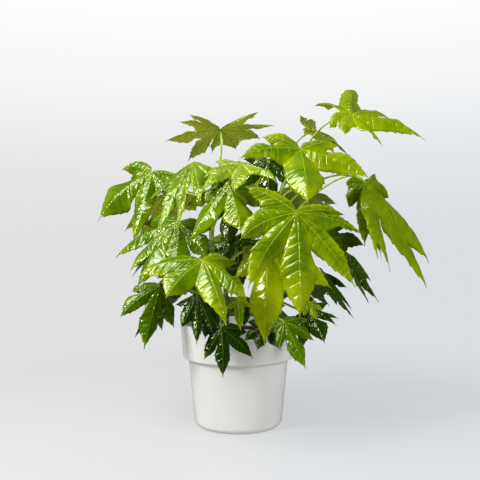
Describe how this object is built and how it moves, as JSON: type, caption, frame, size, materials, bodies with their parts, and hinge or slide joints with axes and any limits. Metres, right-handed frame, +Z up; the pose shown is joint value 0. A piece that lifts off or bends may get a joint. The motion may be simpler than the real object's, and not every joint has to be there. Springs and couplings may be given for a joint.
{
  "type": "potted fatsia japonica",
  "caption": "Bushy fatsia with large glossy hand-shaped leaves on long arching stalks, its stems standing in a soil-filled round white pot with a collar.",
  "frame": {"origin": "centre of the pot's flat base, on the surface that it stands on", "axes": "+Z up along the pot's axis, -Y towards the side that the picture shows, +X to its right"},
  "size_m": [0.6111, 0.5006, 0.6415],
  "materials": {
    "pot": "smooth white glaze, softly glossy",
    "soil": "moist dark potting mix, matt",
    "stem": "green young bark, satin",
    "leaf_young": "yellow-green, glossy",
    "leaf_grown": "mid green, glossy",
    "leaf_shiny": "mid green, very glossy",
    "leaf_old": "dark green, glossy"
  },
  "bodies": {
    "root": {"pot": "pot", "soil": "soil", "stem_1": "stem", "stem_2": "stem", "stem_3": "stem", "stem_4": "stem", "leaf_01": "leaf_young", "leaf_02": "leaf_young", "leaf_03": "leaf_young", "leaf_04": "leaf_grown", "leaf_05": "leaf_shiny", "leaf_06": "leaf_shiny", "leaf_07": "leaf_young", "leaf_08": "leaf_grown", "leaf_09": "leaf_grown", "leaf_10": "leaf_grown", "leaf_11": "leaf_grown", "leaf_12": "leaf_grown", "leaf_13": "leaf_old", "leaf_14": "leaf_old", "leaf_15": "leaf_grown", "leaf_16": "leaf_grown", "leaf_17": "leaf_grown", "leaf_18": "leaf_old", "leaf_19": "leaf_old", "leaf_20": "leaf_old", "leaf_21": "leaf_grown", "leaf_22": "leaf_old", "leaf_23": "leaf_young", "leaf_24": "leaf_young", "leaf_25": "leaf_old", "leaf_26": "leaf_old", "leaf_27": "leaf_old", "leaf_28": "leaf_grown", "leaf_29": "leaf_grown", "leaf_30": "leaf_young", "leaf_31": "leaf_old", "leaf_32": "leaf_grown", "leaf_33": "leaf_old", "leaf_34": "leaf_old", "leaf_35": "leaf_old", "leaf_36": "leaf_old", "leaf_37": "leaf_old", "leaf_38": "leaf_old", "leaf_39": "leaf_old", "leaf_40": "leaf_old"}
  },
  "joints": []
}
